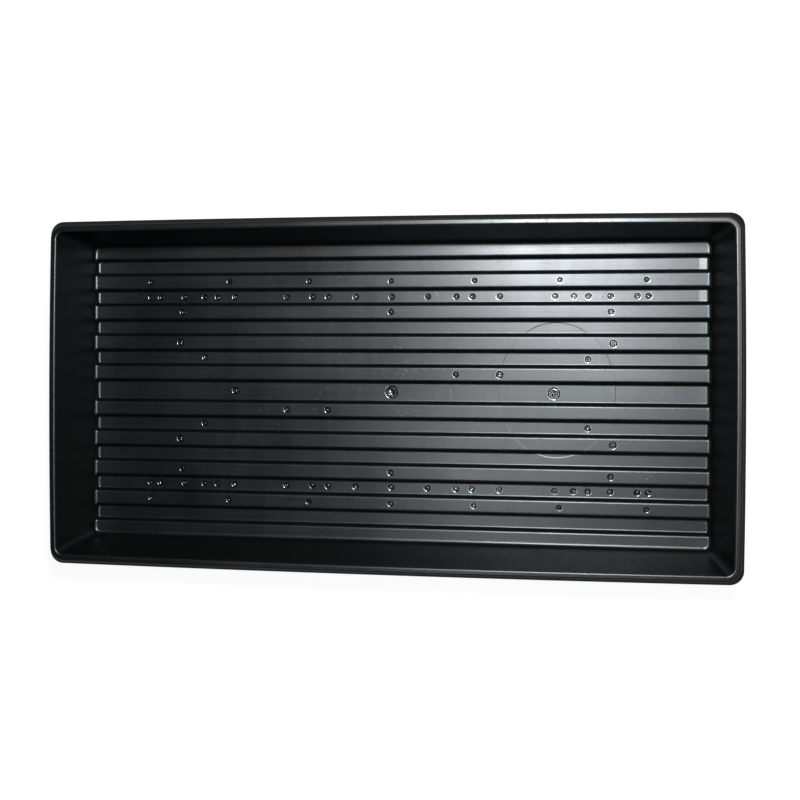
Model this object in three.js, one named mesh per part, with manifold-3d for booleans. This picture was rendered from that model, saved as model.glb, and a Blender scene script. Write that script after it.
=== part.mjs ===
// Propagator tray: a shallow black tray for seedlings, formed from one plastic sheet.
// Millimetres, +Z up. X runs along the length, Y across, and Z = 0 is the plane the tray rests on.
import * as THREE from "three";
import { mergeVertices } from "three/addons/utils/BufferGeometryUtils.js";
import Module from "manifold-3d";

const wasm = await Module();
wasm.setup();

// Driving dimensions

const trayLength = 545; // overall, along X
const trayWidth = 278; // overall, along Y
const trayHeight = 63; // resting plane to the top of the rim
const sheet = 1.2; // thickness of the formed sheet

const wallDraft = THREE.MathUtils.degToRad(7); // lean of all four walls from upright
const cornerRadius = 6; // inside radius where two walls meet

const rimTop = 4.5; // width of the level top of the rim, from edge to edge
const rimInnerRound = 1.6; // rounding where a wall turns over into the rim
const rimOuterRound = 1.6; // rounding where the rim turns down into its skirt
const skirtDrop = 9; // height of the turned-down skirt, from the top of the rim
const skirtRun = 4.3; // in plan, lean of the skirt from the rim out to its lower edge

const channelPairs = 4; // channels on each side of the middle one
const ribHeight = 4.8; // rib tops above the channel floors
const ribTop = 11.7; // width of a rib top
const outerRibTop = 11.4; // width of the two rib tops that lie against the long walls
const ribSideRun = 1.7; // in plan, lean of a rib side from top to foot
const middleExtra = 4.9; // extra width of the middle channel
const ribTopRound = 2.2; // rounding along the top edges of the ribs
const ribFootRound = 1.7; // rounding along the feet of the ribs

const roundSteps = 4; // flats in each rounded edge
const cornerSteps = 8; // flats round each corner of the tray

const plastic = new THREE.MeshStandardMaterial({ color: 0x17181a, roughness: 0.42, metalness: 0 });

// Levels and places that follow from the driving dimensions

const channelLevel = sheet; // upper face of the channel floors
const ribLevel = channelLevel + ribHeight; // upper face of the ribs, where the walls start
const wallThickness = sheet / Math.cos(wallDraft); // measured level, through a leaning wall

/** How far the inside face of a wall stands in from the outside of the tray, at a height. */
const wallInset = (height) => skirtRun + rimTop + (trayHeight - height) * Math.tan(wallDraft);

/** How far the outside face of the skirt stands in from the outside of the tray, at a height. */
const skirtInset = (height) => (skirtRun * (height - trayHeight + skirtDrop)) / skirtDrop;

/** How far the axis of a corner stands in; it leans with the walls, and then with the skirt. */
const wallAxisInset = (height) => wallInset(height) + cornerRadius;
const skirtAxisInset = (height) => skirtInset(height) + rimTop + cornerRadius;

/** Inside and outside faces of the right end wall, along X, at a height. */
const endInside = (height) => trayLength / 2 - wallInset(height);
const endOutside = (height) => endInside(height) + wallThickness;

const floorHalfWidth = trayWidth / 2 - wallInset(ribLevel);
const channelCount = 2 * channelPairs + 1;
const ribsBetween = channelCount - 1;
const channelsTogether = 2 * (floorHalfWidth - outerRibTop) - ribsBetween * ribTop;
const channelTop = (channelsTogether - middleExtra) / channelCount; // mouth of an ordinary channel

// Outlines of a bent sheet

/** Replaces each inner corner of a line by an arc; the arcs touch both neighbouring straights. */
function rounded(corners, rounds) {
  const line = [corners[0]];
  for (let i = 1; i < corners.length - 1; i += 1) {
    const inward = corners[i - 1].clone().sub(corners[i]).normalize();
    const onward = corners[i + 1].clone().sub(corners[i]).normalize();
    const halfAngle = Math.acos(inward.dot(onward)) / 2;
    const bisector = inward.clone().add(onward).normalize();
    const centre = corners[i].clone().addScaledVector(bisector, rounds[i] / Math.sin(halfAngle));
    const start = corners[i].clone().addScaledVector(inward, rounds[i] / Math.tan(halfAngle));
    const turn = Math.sign(onward.cross(inward)) * (Math.PI - 2 * halfAngle);
    for (let step = 0; step <= roundSteps; step += 1) {
      line.push(start.clone().rotateAround(centre, (turn * step) / roundSteps));
    }
  }
  line.push(corners[corners.length - 1]);
  return line;
}

/** The two faces of a sheet bent along a line: the given face, and the one a sheet to its right. */
function bentSheet(corners, rounds, firstCut, lastCut) {
  const last = corners.length - 1;
  const right = [];
  for (let i = 0; i < last; i += 1) {
    const along = corners[i + 1].clone().sub(corners[i]).normalize();
    right.push(new THREE.Vector2(along.y, -along.x));
  }
  const cuts = [firstCut];
  const backRounds = [0];
  for (let i = 1; i < last; i += 1) {
    cuts.push(right[i - 1].clone().add(right[i]).normalize());
    backRounds.push(rounds[i] + Math.sign(right[i - 1].cross(right[i])) * sheet);
  }
  cuts.push(lastCut);
  backRounds.push(0);
  const backCorners = corners.map((corner, i) => {
    const facing = right[Math.min(i, last - 1)];
    return corner.clone().addScaledVector(cuts[i], sheet / cuts[i].dot(facing));
  });
  return { skin: rounded(corners, rounds), back: rounded(backCorners, backRounds) };
}

// Solids

/** A closed body from a list of points and triangles. */
function body(points, triangles) {
  const geometry = new THREE.BufferGeometry();
  geometry.setFromPoints(points);
  geometry.setIndex(triangles.flat());
  return geometry;
}

/** A bar along X with the given Y-Z outline; the X of each end may change with height. */
function bar(outline, startX, endX) {
  const ring = THREE.ShapeUtils.isClockWise(outline) ? [...outline].reverse() : outline;
  const count = ring.length;
  const start = ring.map((p) => new THREE.Vector3(startX(p.y), p.x, p.y));
  const end = ring.map((p) => new THREE.Vector3(endX(p.y), p.x, p.y));
  const triangles = [];
  for (const [a, b, c] of THREE.ShapeUtils.triangulateShape(ring, [])) {
    triangles.push([c, b, a], [a + count, b + count, c + count]);
  }
  for (let i = 0; i < count; i += 1) {
    const next = (i + 1) % count;
    triangles.push([i, next, next + count], [i, next + count, i + count]);
  }
  return body([...start, ...end], triangles);
}

/** A patch of sheet between two grids of points: its skin, its back and its four edges. */
function patch(skin, back) {
  const rows = skin.length;
  const columns = skin[0].length;
  const layer = rows * columns;
  const at = (row, column) => row * columns + column;
  const triangles = [];
  const face = (a, b, c, d) => triangles.push([a, b, c], [a, c, d]);
  for (let row = 0; row < rows - 1; row += 1) {
    for (let column = 0; column < columns - 1; column += 1) {
      const quad = [at(row, column), at(row + 1, column), at(row + 1, column + 1), at(row, column + 1)];
      face(...quad);
      face(...quad.map((i) => i + layer).reverse());
    }
    const first = [at(row, 0), at(row + 1, 0)];
    const final = [at(row, columns - 1), at(row + 1, columns - 1)];
    face(first[1], first[0], first[0] + layer, first[1] + layer);
    face(final[1], final[1] + layer, final[0] + layer, final[0]);
  }
  for (let column = 0; column < columns - 1; column += 1) {
    const foot = [at(0, column), at(0, column + 1)];
    const head = [at(rows - 1, column), at(rows - 1, column + 1)];
    face(foot[0], foot[1], foot[1] + layer, foot[0] + layer);
    face(head[1], head[0], head[0] + layer, head[1] + layer);
  }
  return body([...skin.flat(), ...back.flat()], triangles);
}

/** Turns a closed geometry into a solid that can be joined to others or cut by them. */
function solid(geometry) {
  const bare = new THREE.BufferGeometry();
  bare.setAttribute("position", geometry.getAttribute("position"));
  bare.setIndex(geometry.getIndex());
  const welded = mergeVertices(bare, 1e-4);
  const vertProperties = new Float32Array(welded.getAttribute("position").array);
  const triVerts = new Uint32Array(welded.getIndex().array);
  return new wasm.Manifold(new wasm.Mesh({ numProp: 3, vertProperties, triVerts }));
}

/** Turns a solid back into a geometry. */
function shape(solidBody) {
  const mesh = solidBody.getMesh();
  const geometry = new THREE.BufferGeometry();
  geometry.setAttribute("position", new THREE.BufferAttribute(mesh.vertProperties, 3));
  geometry.setIndex(new THREE.BufferAttribute(mesh.triVerts, 1));
  return geometry;
}

const tray = new THREE.Group();
tray.name = "propagator_tray";

function addNode(name, geometry) {
  const mesh = new THREE.Mesh(geometry.toNonIndexed(), plastic);
  mesh.geometry.computeVertexNormals();
  mesh.name = name;
  tray.add(mesh);
}

// Walls, rim and skirt: one section of the sheet, carried round a rectangle with round corners

const outward = new THREE.Vector2(1, 0);
const skirtLean = new THREE.Vector2(skirtRun, -skirtDrop).normalize();
const skirtEdge = new THREE.Vector2(skirtLean.y, -skirtLean.x);
const wallSection = bentSheet(
  [
    new THREE.Vector2(-wallInset(ribLevel), ribLevel),
    new THREE.Vector2(-wallInset(trayHeight), trayHeight),
    new THREE.Vector2(-skirtRun, trayHeight),
    new THREE.Vector2(0, trayHeight - skirtDrop),
  ],
  [0, rimInnerRound, rimOuterRound, 0],
  outward,
  skirtEdge,
);

// Rows of the section where one region hands over to the next
const wallFoot = 0;
const wallHead = 1;
const innerRoundEnd = wallHead + roundSteps;
const landEnd = innerRoundEnd + 1 + roundSteps;
const skirtEnd = landEnd + 1;

const cornerNames = ["back_right", "back_left", "front_left", "front_right"];
const sideNames = ["back", "left", "front", "right"]; // each side follows the corner of the same place

/** The round corner that a point of the section makes, as points in order round the tray. */
function cornerArc(corner, point, row) {
  const quarter = Math.PI / 2;
  const inset = row <= innerRoundEnd ? wallAxisInset(point.y) : skirtAxisInset(point.y);
  const radius = inset + point.x;
  const along = corner === 0 || corner === 3 ? 1 : -1;
  const across = corner < 2 ? 1 : -1;
  const axisX = along * (trayLength / 2 - inset);
  const axisY = across * (trayWidth / 2 - inset);
  const arc = [];
  for (let step = 0; step <= cornerSteps; step += 1) {
    const angle = quarter * (corner + step / cornerSteps);
    arc.push(new THREE.Vector3(axisX + radius * Math.cos(angle), axisY + radius * Math.sin(angle), point.y));
  }
  return arc;
}

/** The straight that follows a corner, as its two end points. */
function sideRun(corner, point, row) {
  return [cornerArc(corner, point, row)[cornerSteps], cornerArc((corner + 1) % 4, point, row)[0]];
}

/** A region of the wall section between two of its rows, along one corner or one side. */
function wallRegion(firstRow, lastRow, run, corner) {
  const grid = (face) =>
    face.slice(firstRow, lastRow + 1).map((point, i) => run(corner, point, firstRow + i));
  return patch(grid(wallSection.skin), grid(wallSection.back));
}

// Floor: ribs and channels that run the whole length, laid out from the middle channel outward

/** Places across the tray where each channel's mouth begins and ends, from front to back. */
const mouths = [];
for (let i = 0; i < channelCount; i += 1) {
  const step = i - channelPairs;
  const middle = step * (channelTop + ribTop) + (Math.sign(step) * middleExtra) / 2;
  const half = (channelTop + (step === 0 ? middleExtra : 0)) / 2;
  mouths.push({ front: middle - half, back: middle + half });
}

/** How far the flat of a channel floor starts from the foot of the rib, to clear the rounding. */
const footFlat = ribFootRound;

const footOf = (edge, side) => edge + side * ribSideRun;
const atRib = (across) => new THREE.Vector2(across, ribLevel);
const atChannel = (across) => new THREE.Vector2(across, channelLevel);

/** One side of a rib, as corners from its top down to the flat of the channel; side is +1 or -1 along Y. */
const ribSide = (edge, side) => [
  atRib(edge),
  atChannel(footOf(edge, side)),
  atChannel(footOf(edge, side) + side * footFlat),
];
const sideRounds = [ribTopRound, ribFootRound, 0];

const down = new THREE.Vector2(0, -1);

/** The outline of a strip of sheet bent to the given corners, in order along +Y. */
function stripOutline(corners, rounds) {
  const strip = bentSheet(corners, rounds, down, down);
  return [...strip.skin, ...strip.back.reverse()];
}

const leftEnd = (height) => -endOutside(height);

/** A strip of the floor, from the outside of one end wall to the outside of the other. */
const floorStrip = (outline) => bar(outline, leftEnd, endOutside);

/** A rib between two channels. */
function innerRib(channelInFront, channelBehind) {
  const front = ribSide(channelInFront.back, -1).reverse();
  const behind = ribSide(channelBehind.front, 1);
  return floorStrip(stripOutline([...front, ...behind], [...sideRounds].reverse().concat(sideRounds)));
}

/** Plan outline of the floor, with the round corners of the walls that stand on it. */
function floorPlan() {
  const plan = new THREE.Shape();
  const radius = cornerRadius + wallThickness;
  const axisX = trayLength / 2 - wallAxisInset(ribLevel);
  const axisY = trayWidth / 2 - wallAxisInset(ribLevel);
  plan.absarc(axisX, axisY, radius, 0, Math.PI / 2);
  plan.absarc(-axisX, axisY, radius, Math.PI / 2, Math.PI);
  plan.absarc(-axisX, -axisY, radius, Math.PI, 1.5 * Math.PI);
  plan.absarc(axisX, -axisY, radius, 1.5 * Math.PI, 2 * Math.PI);
  return new THREE.ExtrudeGeometry(plan, { depth: ribLevel, bevelEnabled: false, curveSegments: cornerSteps });
}

const floorPrism = solid(floorPlan());

/** A rib that lies against a long wall and carries it, trimmed to the round corners of the floor. */
function outerRib(edge, side) {
  const outerEdge = -side * (floorHalfWidth + wallThickness);
  const corners = [atRib(outerEdge), ...ribSide(edge, side)];
  const rounds = [0, ...sideRounds];
  if (side < 0) {
    corners.reverse();
    rounds.reverse();
  }
  return shape(solid(floorStrip(stripOutline(corners, rounds))).intersect(floorPrism));
}

/** The flat floor of a channel. */
function channelFloor(mouth) {
  const front = footOf(mouth.front, 1) + footFlat;
  const back = footOf(mouth.back, -1) - footFlat;
  return floorStrip(stripOutline([atChannel(front), atChannel(back)], [0, 0]));
}

/** The piece of end wall that closes one end of a channel, below the level of the ribs. */
function channelEnd(mouth, end) {
  const front = ribSide(mouth.front, 1).slice(0, 2);
  const back = ribSide(mouth.back, -1).slice(0, 2).reverse();
  const beyond = [atRib(mouth.front - ribTop / 2), ...front, ...back, atRib(mouth.back + ribTop / 2)];
  const outline = rounded(beyond, [0, ribTopRound, ribFootRound, ribFootRound, ribTopRound, 0]).slice(1, -1);
  const near = (height) => end * endInside(height);
  const far = (height) => end * endOutside(height);
  return end > 0 ? bar(outline, near, far) : bar(outline, far, near);
}

// Nodes

for (let corner = 0; corner < 4; corner += 1) {
  addNode(`rim_corner_${cornerNames[corner]}`, wallRegion(wallHead, landEnd, cornerArc, corner));
  addNode(`skirt_corner_${cornerNames[corner]}`, wallRegion(landEnd, skirtEnd, cornerArc, corner));
  addNode(`wall_corner_${cornerNames[corner]}`, wallRegion(wallFoot, wallHead, cornerArc, corner));
  addNode(`rim_${sideNames[corner]}`, wallRegion(wallHead, landEnd, sideRun, corner));
  addNode(`skirt_${sideNames[corner]}`, wallRegion(landEnd, skirtEnd, sideRun, corner));
  const wall = wallRegion(wallFoot, wallHead, sideRun, corner);
  const end = { left: -1, right: 1 }[sideNames[corner]];
  if (end) {
    const ends = mouths.map((mouth) => solid(channelEnd(mouth, end)));
    addNode(`wall_${sideNames[corner]}`, shape(ends.reduce((whole, piece) => whole.add(piece), solid(wall))));
  } else {
    addNode(`wall_${sideNames[corner]}`, wall);
  }
}

const numbered = (name, index) => `${name}_${String(index + 1).padStart(2, "0")}`;

addNode(numbered("rib", 0), outerRib(mouths[0].front, 1));
for (let i = 1; i < channelCount; i += 1) {
  addNode(numbered("rib", i), innerRib(mouths[i - 1], mouths[i]));
}
addNode(numbered("rib", channelCount), outerRib(mouths[channelCount - 1].back, -1));
mouths.forEach((mouth, i) => addNode(numbered("channel", i), channelFloor(mouth)));

export default tray;
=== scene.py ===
"""A black seedling tray of formed plastic sheet, seen from above on a pale studio floor."""
from functools import cached_property

import bpy
import numpy as np
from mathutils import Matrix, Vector
from mathutils.geometry import delaunay_2d_cdt


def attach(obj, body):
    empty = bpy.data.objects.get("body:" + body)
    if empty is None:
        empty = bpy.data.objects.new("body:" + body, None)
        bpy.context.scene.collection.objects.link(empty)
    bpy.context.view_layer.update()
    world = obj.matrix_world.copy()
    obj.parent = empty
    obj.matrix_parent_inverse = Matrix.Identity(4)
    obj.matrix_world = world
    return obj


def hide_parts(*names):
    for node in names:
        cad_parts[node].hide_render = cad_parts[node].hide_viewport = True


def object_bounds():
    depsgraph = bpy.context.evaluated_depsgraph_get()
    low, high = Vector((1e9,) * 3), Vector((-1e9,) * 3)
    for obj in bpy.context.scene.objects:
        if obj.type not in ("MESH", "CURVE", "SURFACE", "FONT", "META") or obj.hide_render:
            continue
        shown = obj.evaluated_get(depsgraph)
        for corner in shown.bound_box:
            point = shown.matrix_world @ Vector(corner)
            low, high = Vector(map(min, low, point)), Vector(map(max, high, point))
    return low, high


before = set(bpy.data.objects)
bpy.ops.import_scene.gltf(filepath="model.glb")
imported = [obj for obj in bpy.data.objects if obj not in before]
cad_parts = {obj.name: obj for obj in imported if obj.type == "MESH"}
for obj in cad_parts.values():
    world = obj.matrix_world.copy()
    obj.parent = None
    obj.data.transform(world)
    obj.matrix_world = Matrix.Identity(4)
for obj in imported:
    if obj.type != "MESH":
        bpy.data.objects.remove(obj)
cad_box = [list(corner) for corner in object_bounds()]

# Sizes of the tray, in millimetres

MM = 0.001
TRAY_LENGTH, TRAY_WIDTH, TRAY_HEIGHT = (np.array(cad_box[1]) - np.array(cad_box[0])) / MM
HALF_SIZE = np.array([TRAY_LENGTH, TRAY_WIDTH]) / 2
SHEET = 1.2
WALL_DRAFT = np.radians(7)
CORNER_RADIUS = 6.0

RIM_TOP = 4.5
RIM_ROUND = 1.6
SKIRT_DROP = 9.0
SKIRT_RUN = 4.3

CHANNEL_PAIRS = 4
CHANNELS = 2 * CHANNEL_PAIRS + 1
RIB_HEIGHT = 4.8
RIB_TOP = 11.7
OUTER_RIB_TOP = 11.4
RIB_SIDE_RUN = 1.7
MIDDLE_EXTRA = 4.9
RIB_TOP_ROUND = 2.2
RIB_FOOT_ROUND = 1.7

FOOT_ROUND = 3.4  # rounding where the floor turns up into the walls
FOOT_FLAT = 4.4  # how far from the walls the rounding's own strip of floor begins
CHANNEL_END_ROUND = 3.0  # in plan, rounding of the four corners of a channel
SEAM_LEVEL = 14.0  # height on the walls where the floor piece hands over to the wall piece

RAMP_REACH = 8.8  # the last stretch of a channel at the right, which rises towards the end wall
RAMP_ROUND = 12.0
RAMP_DEGREES = np.array([0, 0, 0, 0, 1.4, 1.4, 1.6, 5.5, 6.0])  # for each channel from the front

SIDE_BOW = 1.5  # how far the middle of each side stands out beyond its ends, at the rim
BOW_MIDDLE = 0.4  # share of the bow by which the middle stands outside the straight side

CHANNEL_LEVEL = SHEET
RIB_LEVEL = CHANNEL_LEVEL + RIB_HEIGHT

# Steps of the mesh

ARC_STEPS = 6
ROWS_TO_A_CORNER = ARC_STEPS + 3
FLAT_MARGIN = 0.25  # a rounded edge has one row this far out on both of its flats, to keep them flat
CORNER_STEPS = 12
PLAIN_COLUMNS = 13  # along the ribs, up to the ramps
RAMP_COLUMNS = 8
FOOT_FLAT_STEPS = 3
FOOT_ARC_STEPS = 12
LONG_SIDE_STEPS = 40  # along the walls, the rim and the skirt
SHORT_SIDE_STEPS = 24
MARK_SIDES = 24
MARK_WALL_RINGS = 7


def wall_inset(height):
    """Distance from the tray's outline to the inside of a wall: the rim's width plus the lean below it."""
    return SKIRT_RUN + RIM_TOP + (TRAY_HEIGHT - height) * np.tan(WALL_DRAFT)


def skirt_inset(height):
    """Distance from the tray's outline to the outside of the skirt.

    It is the skirt's run times the share of its drop that lies below the height.
    """
    return SKIRT_RUN * (height - TRAY_HEIGHT + SKIRT_DROP) / SKIRT_DROP


CORE_HALF = HALF_SIZE - wall_inset(RIB_LEVEL) - CORNER_RADIUS  # the floor between the corner axes
CHANNEL_FOOT = HALF_SIZE[0] - wall_inset(CHANNEL_LEVEL)
FLOOR_HALF_WIDTH = HALF_SIZE[1] - wall_inset(RIB_LEVEL)
CHANNELS_TOGETHER = 2 * (FLOOR_HALF_WIDTH - OUTER_RIB_TOP) - (CHANNELS - 1) * RIB_TOP
CHANNEL_TOP = (CHANNELS_TOGETHER - MIDDLE_EXTRA) / CHANNELS


def bowed(points):
    """The sides of the thin tray bow outward a little, the more the higher up.

    A point moves along X by the bow times its height's share, its X share and (the bow's middle share -
    its Y share squared), and along Y likewise.
    """
    share = points[..., :2] / HALF_SIZE
    out = SIDE_BOW * (BOW_MIDDLE - share[..., ::-1] ** 2) * points[..., 2:] / TRAY_HEIGHT
    return np.concatenate([points[..., :2] + share * out, points[..., 2:]], axis=-1)


# Lines and loops

def bent_line(corners, radii, steps):
    """Points along a line whose inner corners are rounded.

    An arc of radius r starts r tan(half the turn) before its corner. After a turn of angle a it has gone
    r sin(a) along the first straight and r (1 - cos a) to the side of the turn. One more point lies on each
    straight, the flat margin before and after the arc.
    """
    along = np.diff(corners, axis=0)
    along /= np.linalg.norm(along, axis=1, keepdims=True)
    first, second = along[:-1], along[1:]
    cross = first[:, 0] * second[:, 1] - first[:, 1] * second[:, 0]
    turn = np.arctan2(cross, (first * second).sum(axis=1))
    left = np.stack([-first[:, 1], first[:, 0]], axis=1)
    start = corners[1:-1] - first * (radii * np.tan(np.abs(turn) / 2))[:, None]
    angle = turn[:, None, None] * np.linspace(0, 1, steps + 1)[:, None]
    radius = (radii * np.sign(turn))[:, None, None]
    arcs = start[:, None] + radius * (np.sin(angle) * first[:, None] + (1 - np.cos(angle)) * left[:, None])
    before = start - FLAT_MARGIN * first
    after = arcs[:, -1] + FLAT_MARGIN * second
    rounded = np.concatenate([before[:, None], arcs, after[:, None]], axis=1)
    return np.concatenate([corners[:1], rounded.reshape(-1, 2), corners[-1:]])


def loop_frame(columns, rows):
    """Places round a rectangle with round corners, counter-clockwise from the back right corner.

    Gives, for each place, its share of the half length and half width (both +1 or -1 at the corners) and
    its outward direction. Columns and rows are the shares of the points between the corners, along the
    long and the short sides.
    """
    angles = np.radians(np.linspace(0, 90, CORNER_STEPS + 1))
    turned = [angles + np.radians(90 * quarter) for quarter in range(4)]
    corner = [np.stack([np.cos(a), np.sin(a)], axis=1) for a in turned]
    signs = np.array([[1, 1], [-1, 1], [-1, -1], [1, -1]])
    corner_share = [np.tile(sign, (CORNER_STEPS + 1, 1)) for sign in signs]

    def side(shares, fixed, axis):
        """Places along one straight side, which faces along the axis and lies at its fixed share of it."""
        share = np.full((len(shares), 2), fixed, dtype=float)
        share[:, 1 - axis] = shares
        outward = np.zeros((len(shares), 2))
        outward[:, axis] = fixed
        return share, outward

    back, left = side(columns[::-1], 1, 1), side(rows[::-1], -1, 0)
    front, right = side(columns, -1, 1), side(rows, 1, 0)
    sides = [back, left, front, right]
    share = np.concatenate([part for i in range(4) for part in (corner_share[i], sides[i][0])])
    outward = np.concatenate([part for i in range(4) for part in (corner[i], sides[i][1])])
    return share, outward


def loop_points(share, outward, axis, inset):
    """Plan places of loops round the tray.

    A place is its share times (half the tray - the inset of the corner axes), plus its outward direction
    times (that inset - the loop's own).
    """
    x = share[:, 0] * (HALF_SIZE[0] - axis) + outward[:, 0] * (axis - inset)
    y = share[:, 1] * (HALF_SIZE[1] - axis) + outward[:, 1] * (axis - inset)
    return x, y


def grid_quads(index):
    """The four-sided faces of a grid of point numbers, counter-clockwise as rows and columns go up."""
    quads = np.stack([index[:-1, :-1], index[:-1, 1:], index[1:, 1:], index[1:, :-1]], axis=-1)
    return quads.reshape(-1, 4)


def ring_quads(loops):
    """The faces between loops of point numbers, each closed on itself and lying outside the one before."""
    ahead = np.roll(loops, -1, axis=1)
    return np.stack([loops[:-1], loops[1:], ahead[1:], ahead[:-1]], axis=-1).reshape(-1, 4)


# Floor

def floor_section():
    """The floor across the tray, as rows of place and height, and how each row behaves at a channel's end.

    A channel has four corners: its front mouth edge, its two feet and its back mouth edge. The pull is +1
    or -1 on the rows of a rib side, which close in towards the channel's middle at its ends, and 0
    elsewhere. The ramp is the slope of the channel's right end.
    """
    step = np.arange(CHANNELS) - CHANNEL_PAIRS
    middle = step * (CHANNEL_TOP + RIB_TOP) + np.sign(step) * MIDDLE_EXTRA / 2
    half = (CHANNEL_TOP + np.where(step == 0, MIDDLE_EXTRA, 0)) / 2
    foot = half - RIB_SIDE_RUN
    across = np.stack([middle - half, middle - foot, middle + foot, middle + half], axis=1).ravel()
    level = np.tile([RIB_LEVEL, CHANNEL_LEVEL, CHANNEL_LEVEL, RIB_LEVEL], CHANNELS)
    across = np.concatenate([[-CORE_HALF[1]], across, [CORE_HALF[1]]])
    level = np.concatenate([[RIB_LEVEL], level, [RIB_LEVEL]])
    radii = np.tile([RIB_TOP_ROUND, RIB_FOOT_ROUND, RIB_FOOT_ROUND, RIB_TOP_ROUND], CHANNELS)
    rows = bent_line(np.stack([across, level], axis=1), radii, ARC_STEPS)
    pull = np.repeat(np.tile([1, 1, -1, -1], CHANNELS), ROWS_TO_A_CORNER)
    ramp = np.repeat(np.tan(np.radians(RAMP_DEGREES)), 4 * ROWS_TO_A_CORNER)
    return rows, np.concatenate([[0], pull, [0]]), np.concatenate([[0], ramp, [0]])


def end_lift(reach, slope):
    """Rise of a channel near its end: a round start, and then a straight ramp of the given slope.

    The rise is w squared / (2 r) for a way w up to r times the slope, and slope (w - half of that) beyond.
    """
    way = np.clip(reach + RAMP_REACH, 0, None)
    start = RAMP_ROUND * slope
    return np.where(way < start, way**2 / (2 * RAMP_ROUND), slope * (way - start / 2))


def end_closing(reach):
    """How far a rib side closes in near the end of a channel: a quarter circle in plan."""
    inside = np.clip(reach + CHANNEL_END_ROUND, 0, CHANNEL_END_ROUND)
    return CHANNEL_END_ROUND - np.sqrt(CHANNEL_END_ROUND**2 - inside**2)


def floor_grid(rows, ramp):
    """The floor between the corner axes: the section's height at each row, plus the channels' end ramps.

    The columns lie close together only on the ramps, at the right.
    """
    inner = CHANNEL_FOOT - RAMP_REACH
    plain = np.linspace(-CORE_HALF[0], inner, PLAIN_COLUMNS, endpoint=False)
    columns = np.concatenate([plain, np.linspace(inner, CORE_HALF[0], RAMP_COLUMNS)])
    depth = (RIB_LEVEL - rows[:, 1]) / RIB_HEIGHT
    x, y = np.meshgrid(columns, rows[:, 0])
    z = rows[:, 1:] + depth[:, None] * end_lift(columns - CHANNEL_FOOT, ramp[:, None])
    return columns, np.stack([x, y, z], axis=-1)


def floor_edge(rows, pull, ramp, columns):
    """Loops from the floor's core out over the rounded foot of the walls and up to the seam.

    The foot's section is a bent line in reach (outward from the foot of the wall) and height. At a channel
    it starts from the channel's own level, and its foot lies on the same leaning wall. The last loop is
    level.
    """
    lean = np.tan(WALL_DRAFT)
    foot_corners = np.array([[-FOOT_FLAT, 0], [0, 0], [RIB_HEIGHT * lean, RIB_HEIGHT]])
    foot = bent_line(foot_corners, np.array([FOOT_ROUND]), FOOT_ARC_STEPS)[:-1]
    flat = np.linspace(foot[0], foot[1], FOOT_FLAT_STEPS, endpoint=False)
    reach, rise = np.concatenate([flat, foot[1:]]).T[..., None]
    share, outward = loop_frame(columns[1:-1] / CORE_HALF[0], rows[1:-1, 0] / CORE_HALF[1])
    at_ends = (np.abs(outward[:, 0]) == 1) & (np.abs(share[:, 1]) < 1)
    level = np.full(len(share), RIB_LEVEL)
    closing = np.zeros(len(share))
    slope = np.zeros(len(share))
    level[at_ends] = np.concatenate([rows[-2:0:-1, 1], rows[1:-1, 1]])
    closing[at_ends] = np.concatenate([pull[-2:0:-1], pull[1:-1]])
    slope[at_ends] = np.concatenate([np.zeros(len(ramp) - 2), ramp[1:-1]])

    depth = (RIB_LEVEL - level) / RIB_HEIGHT
    floor_height = level + depth * end_lift(reach, slope)
    seam_inset = wall_inset(SEAM_LEVEL)
    axis = np.concatenate([wall_inset(RIB_LEVEL + rise), [[seam_inset]]]) + CORNER_RADIUS
    height = np.concatenate([floor_height + rise, np.full((1, len(share)), SEAM_LEVEL)])
    inset = np.concatenate([wall_inset(floor_height) - reach, np.full((1, len(share)), seam_inset)])
    close = np.concatenate([end_closing(reach) * closing, np.zeros((1, len(share)))])
    x, y = loop_points(share, outward, axis, inset)
    return np.stack([x, y + close, height], axis=-1)


def core_border(index):
    """Point numbers of the core's border in the loops' order; a corner's point repeats round its arc."""
    corner = CORNER_STEPS + 1
    return np.concatenate([
        np.repeat(index[-1, -1], corner), index[-1, -2:0:-1],
        np.repeat(index[-1, 0], corner), index[-2:0:-1, 0],
        np.repeat(index[0, 0], corner), index[0, 1:-1],
        np.repeat(index[0, -1], corner), index[1:-1, -1],
    ])


# Vent marks: small round recesses that the screws of the forming mould left in the upper face of the sheet

TINY_MARK = 2.4
SMALL_MARK = 2.7
MEDIUM_MARK = 3.2
LARGE_MARK = 5.1
LARGEST_MARK = 5.5
MARK_DEPTH = 0.85
MARK_WALL = 1.2  # width of the sloping wall round a mark
LIP_SHARE = 0.35  # slope at the wall's upper edge, as a share of its mean slope
MARK_COLLAR = 0.35  # width of the flat ring outside that wall

HEAD_RISE = 0.7  # crown of the screw's head, in the middle of the mark
HEAD_SHARE = 0.9  # the head fills this share of the mark's floor
LARGE_HEAD = 3.3  # and is never larger than this radius, which it has in the large marks
HEAD_POWER = 8  # the higher the power, the flatter the crown and the shorter the rounding of its edge
DISH_DEPTH = 0.4  # hollow in the crown of a large head
DISH_SHARE = 0.84  # radius of that hollow, as a share of the head's
DISH_POWER = 12
HEAD_RINGS = np.array([1, 0.93, DISH_SHARE, 0.76, 0.68, 0.6, 0.3])  # the mesh's rings, in head radii

SLOT_DEPTH = 0.3
SLOT_SHARE = 0.18  # half width of the slot, as a share of the head's radius
SLOT_EDGE = 1.5  # in half widths, where the slot's sides meet the crown
SLOT_RUNOUT = 0.25  # share of the crown's rise over which the slot's ends run out
SLOT_TURN = 2.4  # radians from the slot of one mark to the next

LONG_ROW = np.array([0, 30.2, 53.7, 67.0, 89.3, 134.2, 149.3, 160.9, 178.6, 199.9, 208.7])
MIRRORED_ROW = np.concatenate([-LONG_ROW[:0:-1], LONG_ROW])
EVEN_ROW = 68.9 * np.arange(-3, 4)

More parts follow.
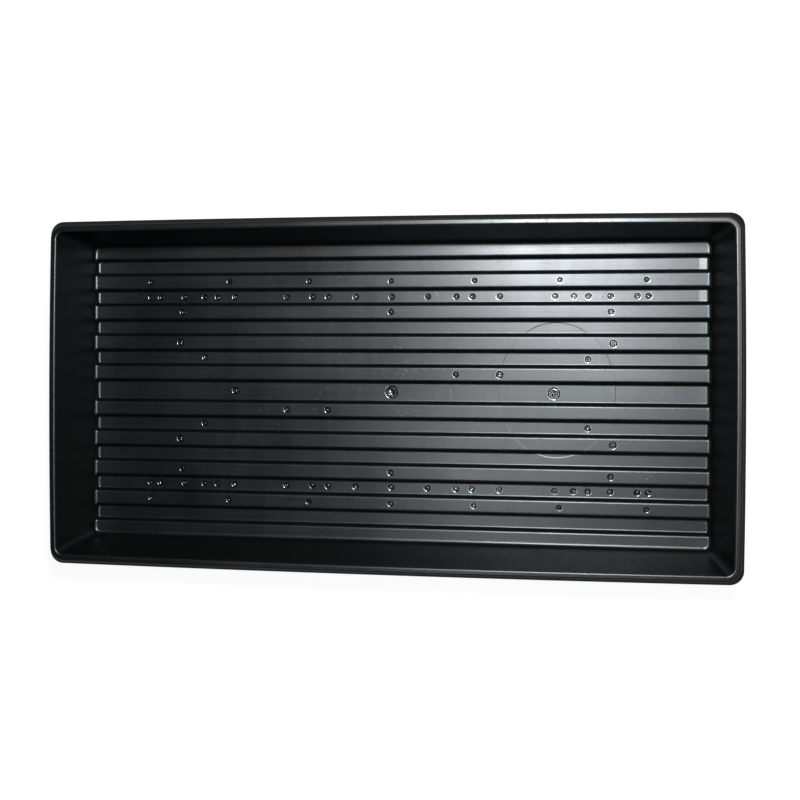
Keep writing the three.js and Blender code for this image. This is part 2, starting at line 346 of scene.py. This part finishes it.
# For each band of the floor, counted from the front: the marks' places along the tray, and their radii
MARKS = {
    2: (EVEN_ROW, TINY_MARK),
    3: (MIRRORED_ROW, SMALL_MARK),
    4: ([-178.6, 0, 178.6], SMALL_MARK),
    6: ([-180.4, 180.4], MEDIUM_MARK),
    7: ([-160.6, 160.6], SMALL_MARK),
    8: ([-88.0, -53.0], SMALL_MARK),
    9: ([-133.6, 0, 133.6], [MEDIUM_MARK, LARGEST_MARK, LARGE_MARK]),
    10: ([53.7, 89.6], [SMALL_MARK, MEDIUM_MARK]),
    11: ([-160.6, 160.6], SMALL_MARK),
    12: ([-180.4, 180.4], MEDIUM_MARK),
    14: ([-178.6, 0, 178.6], SMALL_MARK),
    15: (MIRRORED_ROW, SMALL_MARK),
    16: (EVEN_ROW, TINY_MARK),
}

INSIDE_ONLY = 1  # the triangulation keeps what lies inside its outline
SAME_POINT = 1e-6  # and takes points as near as this for one


def smooth_step(value):
    """0 below 0, 1 above 1, and 3 v squared - 2 v cubed between."""
    value = np.clip(value, 0, 1)
    return value * value * (3 - 2 * value)


def mark_pans(places, radii, turns):
    """The recesses of one band, as plan points (mark, ring, side, xy) and heights, from the collar inwards.

    The wall falls by the mark's depth times a sum: the lip's share times the way in, and the rest times its
    cube. The head then rises with round edges, crown (1 - (r / head radius) to the head's power), with a
    slot across it, turned by each mark's own angle. A large head is hollowed by the dish's depth
    (1 - (r / dish radius) to the dish's power). The last result is the height of each mark's centre.
    """
    radius = radii[:, None]
    floor_radius = radius - MARK_WALL
    head = np.minimum(HEAD_SHARE * floor_radius, LARGE_HEAD)
    hollow = DISH_DEPTH * (head == LARGE_HEAD)
    wall = floor_radius + MARK_WALL * np.linspace(1, 0, MARK_WALL_RINGS)
    ring = np.concatenate([radius + MARK_COLLAR, wall, head * HEAD_RINGS], axis=1)[..., None]
    angle = np.linspace(0, 2 * np.pi, MARK_SIDES, endpoint=False)
    around = np.stack([np.cos(angle), np.sin(angle)], axis=-1)
    plan = places[:, None, None] + ring[..., None] * around

    way_in = np.clip((radius[..., None] - ring) / MARK_WALL, 0, 1)
    fall = LIP_SHARE * way_in + (1 - LIP_SHARE) * way_in**3
    in_head = ring / head[..., None]
    dome = np.clip(1 - in_head**HEAD_POWER, 0, 1)
    dish = hollow[..., None] * np.clip(1 - (in_head / DISH_SHARE) ** DISH_POWER, 0, 1)
    off_slot = np.abs(in_head * np.sin(angle - turns[:, None, None])) / SLOT_SHARE
    slot = smooth_step(SLOT_EDGE - off_slot) * smooth_step(dome / SLOT_RUNOUT)
    height = -MARK_DEPTH * fall + HEAD_RISE * dome - SLOT_DEPTH * slot - dish
    return plan, height, HEAD_RISE - MARK_DEPTH - SLOT_DEPTH - hollow


def flat_triangles(outline, collars, centres, radii):
    """A flat that leaves its marks out, as triangles of point numbers: the outline's, then the collars'.

    The triangulation keeps every edge of the outline and of the collars, and the triangles inside a collar
    are then dropped.
    """
    count, sides = collars.shape[:2]
    loop = np.arange(len(outline))
    hole = len(outline) + np.arange(count * sides).reshape(count, sides)
    edges = np.concatenate([
        np.stack([loop, np.roll(loop, -1)], axis=1),
        np.stack([hole, np.roll(hole, -1, axis=1)], axis=-1).reshape(-1, 2),
    ])
    points = np.concatenate([outline, collars.reshape(-1, 2)])
    vectors = [Vector(point) for point in points.tolist()]
    _, _, faces, sources, _, _ = delaunay_2d_cdt(vectors, edges.tolist(), [], INSIDE_ONLY, SAME_POINT)
    origin = np.array([source[0] for source in sources])
    triangles = origin[np.array(faces)]
    corner = points[triangles]
    ab, ac = corner[:, 1] - corner[:, 0], corner[:, 2] - corner[:, 0]
    turned = ab[:, 0] * ac[:, 1] - ab[:, 1] * ac[:, 0] < 0
    triangles[turned] = triangles[turned][:, ::-1]
    away = np.linalg.norm(corner.mean(axis=1)[:, None] - centres, axis=-1) - radii
    return triangles[away.min(axis=1) > MARK_COLLAR]


def marked_flat(floor, index, band, places, radii, first_free):
    """One flat of the floor with its recesses.

    Gives the recesses' points and the points behind them, which lie level, and three sets of faces: the
    flat's triangles, the recesses' rings, and the fans round their centres.
    """
    row = 2 * band * ROWS_TO_A_CORNER
    border = np.concatenate([index[row], index[row + 1][::-1]])
    flat = floor[row:row + 2]
    halfway = flat.shape[1] // 2
    outline = np.concatenate([flat[0, :, :2], flat[1, ::-1, :2]])
    centres = np.stack([places, np.full(len(places), flat[:, halfway, 1].mean())], axis=1)
    turns = SLOT_TURN * np.arange(len(places)) + band
    plan, height, centre_height = mark_pans(centres, radii, turns)
    count, rings, sides = height.shape
    numbers = first_free + np.arange(count * (rings * sides + 1)).reshape(count, -1)
    pans = numbers[:, :-1].reshape(count, rings, sides)
    triangles = flat_triangles(outline, plan[:, 0], centres, radii)
    triangles = np.concatenate([border, pans[:, 0].ravel()])[triangles]

    level = flat[0, halfway, 2]
    pan_points = np.concatenate([plan, level + height[..., None]], axis=-1).reshape(count, -1, 3)
    centre_points = np.concatenate([centres, level + centre_height], axis=1)
    points = np.concatenate([pan_points, centre_points[:, None]], axis=1).reshape(-1, 3)
    backs = points * [1, 1, 0] + [0, 0, level - SHEET]
    ahead = np.roll(pans, -1, axis=2)
    quads = np.stack([pans[:, :-1], ahead[:, :-1], ahead[:, 1:], pans[:, 1:]], axis=-1).reshape(-1, 4)
    hub = np.broadcast_to(numbers[:, -1:], pans[:, -1].shape)
    fans = np.stack([pans[:, -1], ahead[:, -1], hub], axis=-1).reshape(-1, 3)
    return points, backs, triangles, quads, fans


# Sheet

STEEP = np.cos(np.radians(50))  # a face that leans more than this has the finish of the drawn sides
SHARP_EDGE = np.radians(40)
FLAT_FINISH, STEEP_FINISH, PRESSED_FINISH, STEEP_BACK_FINISH = range(4)


def new_object(name, data):
    """A new object with the given data, in the scene."""
    item = bpy.data.objects.new(name, data)
    bpy.context.scene.collection.objects.link(item)
    return item


def formed_sheet(name, points, faces, finishes, even_backs=None, pressed_faces=0):
    """A piece of sheet: the visible face as given, and a back one sheet thickness behind it.

    The back is flat where the tray rests, and the last points may have backs of their own. Of two finishes,
    the second is for the back. Of four, the second is for the steep faces, the third for the last of the
    given faces, which are pressed, and the fourth for the steep faces of the back.
    """
    given = bpy.data.meshes.new(name)
    given.from_pydata((bowed(points) * MM).tolist(), [], faces)
    piece = new_object(name, given)
    thickness = piece.modifiers.new("sheet", "SOLIDIFY")
    thickness.thickness = SHEET * MM
    thickness.offset = -1
    thickness.use_even_offset = True
    thickness.use_quality_normals = True
    graph = bpy.context.evaluated_depsgraph_get()
    mesh = bpy.data.meshes.new_from_object(piece.evaluated_get(graph))
    mesh.name = name
    piece.data = mesh
    piece.modifiers.clear()

    places = np.empty(3 * len(mesh.vertices))
    mesh.vertices.foreach_get("co", places)
    places = places.reshape(-1, 3)
    if even_backs is not None:
        places[2 * len(points) - len(even_backs):2 * len(points)] = bowed(even_backs) * MM
    places[:, 2] = np.maximum(places[:, 2], 0)
    mesh.vertices.foreach_set("co", places.ravel())
    mesh.update()

    for finish in finishes:
        mesh.materials.append(finish)
    behind = np.arange(len(mesh.polygons)) >= len(faces)
    if pressed_faces:
        normals = np.empty(3 * len(mesh.polygons))
        mesh.polygons.foreach_get("normal", normals)
        steep = np.abs(normals[2::3]) < STEEP
        finish_number = np.where(steep, np.where(behind, STEEP_BACK_FINISH, STEEP_FINISH), FLAT_FINISH)
        finish_number[len(faces) - pressed_faces:len(faces)] = PRESSED_FINISH
    else:
        finish_number = np.where(behind, len(finishes) - 1, 0)
    mesh.polygons.foreach_set("material_index", finish_number)
    mesh.shade_smooth()
    mesh.set_sharp_from_angle(angle=SHARP_EDGE)
    return piece


def ribbed_floor(finishes):
    """The ribs and channels, the vent marks in them and the rounded foot of the walls, as one sheet."""
    rows, pull, ramp = floor_section()
    columns, core = floor_grid(rows, ramp)
    index = np.arange(core.shape[0] * core.shape[1]).reshape(core.shape[:2])
    edge = floor_edge(rows, pull, ramp, columns)
    loops = index.size + np.arange(edge.shape[0] * edge.shape[1]).reshape(edge.shape[:2])

    points = [core.reshape(-1, 3), edge.reshape(-1, 3)]
    marked_rows = 2 * ROWS_TO_A_CORNER * np.array(list(MARKS))
    plain = ~np.isin(np.arange(len(index) - 1), marked_rows)
    core_quads = grid_quads(index).reshape(len(index) - 1, -1, 4)[plain].reshape(-1, 4)
    joint = ring_quads(np.stack([core_border(index), loops[0]]))
    fan = joint[:, 0] == joint[:, 3]
    quads = [core_quads, ring_quads(loops), joint[~fan]]
    triangles = [joint[fan][:, :3]]

    pans, hubs, mark_backs = [], [], []
    first_free = index.size + loops.size
    for band, (places, radii) in MARKS.items():
        places = np.array(places)
        radii = np.broadcast_to(radii, places.shape)
        pan_points, backs, flat, pan, hub = marked_flat(core, index, band, places, radii, first_free)
        points.append(pan_points)
        mark_backs.append(backs)
        triangles.append(flat)
        pans.append(pan)
        hubs.append(hub)
        first_free += len(pan_points)
    smooth_faces = np.concatenate(quads).tolist() + np.concatenate(triangles).tolist()
    pressed = np.concatenate(pans).tolist() + np.concatenate(hubs).tolist()
    points, backs = np.concatenate(points), np.concatenate(mark_backs)
    return formed_sheet("tray_floor", points, smooth_faces + pressed, finishes, backs, len(pressed))


# Walls, rim and skirt

def wall_section():
    """The section above the seam, as inset and height: up the wall, over the level rim and down the skirt.

    The corner axis, as an inset too, keeps the walls' inside radius up to the rim, and the rim's outside
    radius down the skirt.
    """
    corners = np.array([
        [-wall_inset(SEAM_LEVEL), SEAM_LEVEL],
        [-wall_inset(TRAY_HEIGHT), TRAY_HEIGHT],
        [-SKIRT_RUN, TRAY_HEIGHT],
        [0, TRAY_HEIGHT - SKIRT_DROP],
    ])
    section = bent_line(corners, np.array([RIM_ROUND, RIM_ROUND]), ARC_STEPS)
    inset, height = -section[:, 0], section[:, 1]
    on_wall = np.arange(len(section)) < len(section) // 2
    axis = np.where(on_wall, wall_inset(height), skirt_inset(height) + RIM_TOP) + CORNER_RADIUS
    return inset, height, axis


def carried_round(name, first, last, finishes):
    """A part of the wall section, from its first to its last row, carried round the tray."""
    inset, height, axis = [values[first:last + 1, None] for values in wall_section()]
    columns = np.linspace(-1, 1, LONG_SIDE_STEPS + 1)[1:-1]
    rows = np.linspace(-1, 1, SHORT_SIDE_STEPS + 1)[1:-1]
    x, y = loop_points(*loop_frame(columns, rows), axis, inset)
    points = np.stack([x, y, np.broadcast_to(height, x.shape)], axis=-1)
    loops = np.arange(points.shape[0] * points.shape[1]).reshape(points.shape[:2])
    return formed_sheet(name, points.reshape(-1, 3), ring_quads(loops).tolist(), finishes)


# Finishes

def add_node(tree, kind, links=(), **settings):
    """A new node; each link sets the input of that name or number, to an output socket or to a value."""
    node = tree.nodes.new(kind)
    for name, value in settings.items():
        setattr(node, name, value)
    for target, source in dict(links).items():
        if isinstance(source, bpy.types.NodeSocket):
            tree.links.new(source, node.inputs[target])
        else:
            node.inputs[target].default_value = source
    return node


def new_finish(name):
    """A new material and its empty node tree."""
    material = bpy.data.materials.new(name)
    material.use_nodes = True
    material.node_tree.nodes.clear()
    return material, material.node_tree


class Weave:
    """Short words for the nodes that a finish is woven from, all in the coordinates of the tray itself."""

    def __init__(self, tree):
        self.tree = tree

    @cached_property
    def place(self):
        """The tray's own coordinates, in metres."""
        return add_node(self.tree, "ShaderNodeTexCoord").outputs["Object"]

    def math(self, operation, *values):
        """One step of arithmetic on the values."""
        links = dict(enumerate(values))
        return add_node(self.tree, "ShaderNodeMath", links, operation=operation).outputs[0]

    def total(self, first, *others):
        """The sum of the values."""
        for other in others:
            first = self.math("ADD", first, other)
        return first

    def span(self, value, low, high, to_low, to_high):
        """A value's range from low to high, spread over another range and held at its ends."""
        links = {"Value": value, 1: low, 2: high, 3: to_low, 4: to_high}
        return add_node(self.tree, "ShaderNodeMapRange", links).outputs[0]

    def stretched(self, grain, turn=0.0, centre=(0, 0, 0)):
        """Coordinates from a centre, turned about the vertical, in which one unit is the grain's sizes."""
        turned = (0, 0, np.radians(turn))
        links = {"Vector": self.place, "Location": centre, "Rotation": turned, "Scale": grain}
        return add_node(self.tree, "ShaderNodeMapping", links, vector_type="TEXTURE").outputs[0]

    def noise(self, scale, detail, roughness=0.5, vector=None):
        """A cloudy value round a half, with so many clouds to the unit."""
        where = vector or self.place
        links = {"Vector": where, "Scale": scale, "Detail": detail, "Roughness": roughness}
        return add_node(self.tree, "ShaderNodeTexNoise", links).outputs["Fac"]

    def scatter(self, scale, vector=None):
        """Distance, in cells, from the nearest point of a pattern with one point in each flat cell."""
        links = {"Vector": vector or self.place, "Scale": scale}
        cells = add_node(self.tree, "ShaderNodeTexVoronoi", links, voronoi_dimensions="2D")
        return cells.outputs["Distance"]

    def bump(self, distance, height, under=None):
        """A normal that follows the height times a distance in metres, on top of the normal under it."""
        links = {"Strength": 1.0, "Distance": distance, "Height": height}
        if under:
            links["Normal"] = under
        return add_node(self.tree, "ShaderNodeBump", links).outputs[0]

    def mixed(self, share, first, second):
        """A colour between two, by the share of the second."""
        links = {"Factor": share, "A": first, "B": second}
        return add_node(self.tree, "ShaderNodeMix", links, data_type="RGBA").outputs["Result"]


USUAL_NOISE = (0.3, 0.7)  # the part of a noise's range that is spread over a finish
WIDE_NOISE = (0.2, 0.8)
NARROW_NOISE = (0.35, 0.65)

RING_CENTRE = (0.1354, 0.0028, 0)
RING_HALF = (0.0475, 0.0553, 1)  # half length and half width of the oval, in metres
RING_WIDTH = 0.014  # as a share of its half length
RING_LEVELS = (0.003, 0.005)  # heights between which it passes from the channels' step to the ribs'
RING_STEPS = (3.3, 1.6)


def pot_ring(weave):
    """A faint oval that a pot has pressed into the floor: a step up from 0 inside to its height outside.

    The step is higher in the channels than on the ribs.
    """
    place = weave.stretched(RING_HALF, centre=RING_CENTRE)
    flat = add_node(weave.tree, "ShaderNodeVectorMath", {0: place, 1: (1, 1, 0)}, operation="MULTIPLY")
    away = add_node(weave.tree, "ShaderNodeVectorMath", {0: flat.outputs[0]}, operation="LENGTH")
    step = weave.span(away.outputs["Value"], 1 - RING_WIDTH, 1, 0, 1)
    height = add_node(weave.tree, "ShaderNodeSeparateXYZ", {0: weave.place}).outputs["Z"]
    return weave.math("MULTIPLY", step, weave.span(height, *RING_LEVELS, *RING_STEPS))


SCRATCH_FIELD = (0.085, 0.005, 1)  # one scratch lies in each field of this length and width
HAIRLINE_FIELD = (0.03, 0.0022, 1)
SCRATCHES = [  # field, angle in degrees, noise above which they show, depth
    (SCRATCH_FIELD, -55, 0.55, 1.0),
    (SCRATCH_FIELD, 48, 0.59, 1.0),
    (HAIRLINE_FIELD, -38, 0.48, 0.85),
    (HAIRLINE_FIELD, 33, 0.52, 0.85),
]
SCRATCH_SIDES = (0.01, 0.08)  # distance from its middle, in fields, where it is deepest and where it ends
SCRATCHED_PATCHES = 38  # to the metre
SCRATCHED_FADE = 0.06  # range of that noise over which the scratches come in


def scratches(weave, field, turn, low, depth):
    """Sparse short scratches at one angle.

    They are the depth at places close to the points of a scattered pattern that is stretched along that
    angle, and show only where a broad noise is above the low value.
    """
    line = weave.span(weave.scatter(1, weave.stretched(field, turn)), *SCRATCH_SIDES, depth, 0)
    shown = weave.span(weave.noise(SCRATCHED_PATCHES, detail=2), low, low + SCRATCHED_FADE, 0, 1)
    return weave.math("MULTIPLY", line, shown)


def specks(weave, scale, radius, peak):
    """Small round spots: the peak at the points of a scattered pattern, and 0 a radius, in cells, away."""
    return weave.span(weave.scatter(scale), 0, radius, peak, 0)


GRAIN_SCALE = 1500  # to the metre
LINE_SIZE = (0.14, 0.0016, 0.0016)  # in metres along, across and up
STRIP_SIZE = (0.011, 0.3, 0.3)
SATIN_PATCHES = 14  # to the metre
LINE_ROUGHNESS = 0.02  # added or taken away at most
STRIP_ROUGHNESS = 0.016
GRAIN_HEIGHT = 1.8e-5  # in metres
LINE_HEIGHT = 0.6  # as a share of the grain's height
WEAR_HEIGHT = 4e-5  # in metres, for a scratch of depth 1
PIT_SCALE = 100  # cells to the metre, with one pit in each
PIT_RADIUS = 0.04  # in cells
PIT_PEAK = 0.35
DUST = (0.35, 0.35, 0.33, 1)
DUST_SCALE = 110
DUST_RADIUS = 0.023
SATIN_TONES = ((0.0030, 0.0032, 0.0034, 1), (0.0050, 0.0053, 0.0056, 1))
SATIN_SHEEN = (0.87, 0.945, 1.0, 1)


def satin_sheet(name, smooth, rough, gloss):
    """Satin black sheet between two roughnesses, with its gloss as a refractive index.

    It has a fine grain, lines drawn along the tray, faint strips across it, soft patches, scratches, pits,
    a pot's ring and specks of dust.
    """
    material, tree = new_finish(name)
    weave = Weave(tree)
    grain = weave.noise(GRAIN_SCALE, detail=2)
    lines = weave.noise(1, detail=3, roughness=0.6, vector=weave.stretched(LINE_SIZE))
    strips = weave.noise(1, detail=2, vector=weave.stretched(STRIP_SIZE))
    patches = weave.noise(SATIN_PATCHES, detail=3)
    roughness = weave.total(
        weave.span(patches, *USUAL_NOISE, smooth, rough),
        weave.span(lines, *USUAL_NOISE, -LINE_ROUGHNESS, LINE_ROUGHNESS),
        weave.span(strips, *USUAL_NOISE, -STRIP_ROUGHNESS, STRIP_ROUGHNESS),
    )
    fine = weave.total(
        weave.span(grain, *WIDE_NOISE, 0, 1),
        weave.span(lines, *WIDE_NOISE, 0, LINE_HEIGHT),
    )
    wear = weave.total(
        *[scratches(weave, *kind) for kind in SCRATCHES],
        pot_ring(weave),
        specks(weave, PIT_SCALE, PIT_RADIUS, PIT_PEAK),
    )
    tone = weave.mixed(weave.span(patches, *NARROW_NOISE, 0, 1), *SATIN_TONES)
    shader = add_node(tree, "ShaderNodeBsdfPrincipled", {
        "Base Color": weave.mixed(specks(weave, DUST_SCALE, DUST_RADIUS, 1), tone, DUST),
        "Roughness": roughness,
        "Normal": weave.bump(WEAR_HEIGHT, wear, under=weave.bump(GRAIN_HEIGHT, fine)),
        "IOR": gloss,
        "Specular IOR Level": 1.0,
        "Specular Tint": SATIN_SHEEN,
    })
    add_node(tree, "ShaderNodeOutputMaterial", {"Surface": shader.outputs[0]})
    return material


STREAK_SIZE = (0.0024, 0.0024, 0.083)  # in metres along, across and up
STREAK_ROUGHNESS = 0.03
DRAWN_PATCHES = 18  # to the metre
DRAWN_ROUGHNESS = (0.42, 0.5)
DRAWN_HEIGHT = 8e-6  # in metres
DRAWN_TONES = np.array([[0.0028, 0.0029, 0.0031], [0.0042, 0.0044, 0.0047]])


def drawn_sheet(name, light, gloss):
    """Duller black of the sides, where the sheet was drawn thin: upright streaks and soft patches.

    Light multiplies the two tones between which the patches lie, and gloss is the strength of the shine;
    the skirt's copy is painted lighter this way.
    """
    material, tree = new_finish(name)
    weave = Weave(tree)
    grain = weave.noise(GRAIN_SCALE, detail=2)
    streaks = weave.noise(1, detail=3, roughness=0.6, vector=weave.stretched(STREAK_SIZE))
    patches = weave.noise(DRAWN_PATCHES, detail=3)
    tones = [(*tone, 1) for tone in light * DRAWN_TONES]
    shader = add_node(tree, "ShaderNodeBsdfPrincipled", {
        "Base Color": weave.mixed(weave.span(patches, *NARROW_NOISE, 0, 1), *tones),
        "Roughness": weave.total(
            weave.span(patches, *USUAL_NOISE, *DRAWN_ROUGHNESS),
            weave.span(streaks, *USUAL_NOISE, -STREAK_ROUGHNESS, STREAK_ROUGHNESS),
        ),
        "Normal": weave.bump(DRAWN_HEIGHT, weave.total(streaks, grain)),
        "Specular IOR Level": gloss,
    })
    add_node(tree, "ShaderNodeOutputMaterial", {"Surface": shader.outputs[0]})
    return material


WHITE = (0.92, 0.92, 0.92, 1)
FLOOR_PAINT = (0.2, 0.2, 0.2, 1)
POLISHED_SHARE = 0.15  # how much of the floor's white shows in the gloss of the tray


def studio_floor():
    """Pale floor: a little of the lamps' light keeps the shadow, and an even white on top meets the eye.

    Glossy things see that white too, as the grey that paper has in soft light.
    """
    material, tree = new_finish("studio_floor")
    weave = Weave(tree)
    rays = add_node(tree, "ShaderNodeLightPath").outputs
    polished = weave.math("MULTIPLY", rays["Is Glossy Ray"], POLISHED_SHARE)
    clear = weave.math("MAXIMUM", polished, rays["Is Transmission Ray"])
    seen = weave.math("MAXIMUM", clear, rays["Is Camera Ray"])
    white = add_node(tree, "ShaderNodeEmission", {"Color": WHITE, "Strength": seen})
    paint = add_node(tree, "ShaderNodeBsdfDiffuse", {"Color": FLOOR_PAINT})
    both = add_node(tree, "ShaderNodeAddShader", {0: white.outputs[0], 1: paint.outputs[0]})
    add_node(tree, "ShaderNodeOutputMaterial", {"Surface": both.outputs[0]})
    return material


HORIZON_SHARE = 0.6  # how much of the white behind the tray shows in its gloss, at the horizon
BAND_TOP = 0.3  # height on the unit sphere at which that band has faded into the dim ceiling
CEILING = 0.015


def studio_walls():
    """White to the eye; to the tray a dim ceiling, with a pale band at the horizon that its gloss shows."""
    world = bpy.data.worlds.new("studio")
    world.use_nodes = True
    tree = world.node_tree
    tree.nodes.clear()
    weave = Weave(tree)
    rays = add_node(tree, "ShaderNodeLightPath").outputs
    direction = add_node(tree, "ShaderNodeTexCoord").outputs["Generated"]
    height = add_node(tree, "ShaderNodeSeparateXYZ", {0: direction}).outputs["Z"]
    pale = weave.span(height, 0, BAND_TOP, HORIZON_SHARE, 0)
    band = weave.math("MULTIPLY", rays["Is Glossy Ray"], pale)
    clear = weave.math("MAXIMUM", rays["Is Camera Ray"], rays["Is Transmission Ray"])
    seen = weave.math("MAXIMUM", weave.math("MAXIMUM", band, clear), CEILING)
    backdrop = add_node(tree, "ShaderNodeBackground", {"Color": WHITE, "Strength": seen})
    add_node(tree, "ShaderNodeOutputWorld", {"Surface": backdrop.outputs[0]})
    return world


# Pieces, and the solids that each one stands for

satin = satin_sheet("satin_black_sheet", smooth=0.32, rough=0.38, gloss=1.5)
pressed_marks = satin_sheet("pressed_black_sheet", smooth=0.2, rough=0.24, gloss=1.8)
drawn = drawn_sheet("drawn_black_sheet", light=1.0, gloss=0.26)
outside = drawn_sheet("outside_black_sheet", light=1.2, gloss=0.75)
# painted light: the skirt's copy of the black has four times its tones and almost no shine, so the skirt is
# painted lighter than the same sheet elsewhere
skirt_painted_lighter = drawn_sheet("skirt_black_sheet_painted_lighter", light=4.0, gloss=0.04)

RIM_START = 1  # rows of the wall section
RIM_END = 2 * ROWS_TO_A_CORNER
SKIRT_EDGE = RIM_END + 1
pieces = [
    (ribbed_floor([satin, drawn, pressed_marks, outside]), ("rib_", "channel_")),
    (carried_round("tray_walls", 0, RIM_START, [drawn, outside]), ("wall_",)),
    (carried_round("tray_rim", RIM_START, RIM_END, [satin]), ("rim_",)),
    (carried_round("tray_skirt", RIM_END, SKIRT_EDGE, [skirt_painted_lighter]), ("skirt_",)),
]
for piece, prefixes in pieces:
    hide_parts(*[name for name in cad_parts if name.startswith(prefixes)])
    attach(piece, "root")

# Studio, in metres

STUDIO_HALF = 3.0
STUDIO_LEVEL = -0.0004  # just under the tray, which rests at zero
ground = bpy.data.meshes.new("studio_floor")
ground_plan = STUDIO_HALF * np.array([[-1, -1], [1, -1], [1, 1], [-1, 1]])
ground_corners = np.column_stack([ground_plan, np.full(4, STUDIO_LEVEL)])
ground.from_pydata(ground_corners.tolist(), [], [[0, 1, 2, 3]])
ground.materials.append(studio_floor())
new_object("studio_floor", ground)

bpy.context.scene.world = studio_walls()

LAMP_AIM = Vector((0.05, 0.03, 0.0))
LAMP_SIZE = 0.12
LAMPS = {  # place and power of each soft lamp
    "main_lamp": ((0.164, 0.255, 0.805), 6.2),
    "front_lamp": ((0.063, -0.147, 0.805), 0.68),
    "right_lamp": ((0.257, 0.031, 0.805), 0.79),
}
for name, (place, power) in LAMPS.items():
    light = bpy.data.lights.new(name, "AREA")
    light.shape = "DISK"
    light.size = LAMP_SIZE
    light.energy = power
    lamp = new_object(name, light)
    lamp.location = place
    lamp.rotation_euler = (LAMP_AIM - lamp.location).to_track_quat("-Z", "Y").to_euler()

CAMERA_PLACE = (0.11401, 0.04036, 0.79471)
CAMERA_DEGREES = (-0.0748, 7.3883, 0.1475)  # nearly straight down
camera_data = bpy.data.cameras.new("camera")
camera_data.sensor_width = 36
camera_data.lens = 43.424
camera_data.shift_x = -0.00595
camera_data.shift_y = -0.06847
camera = new_object("camera", camera_data)
camera.location = CAMERA_PLACE
camera.rotation_euler = np.radians(CAMERA_DEGREES)
bpy.context.scene.camera = camera
bpy.context.scene.view_settings.view_transform = "Standard"
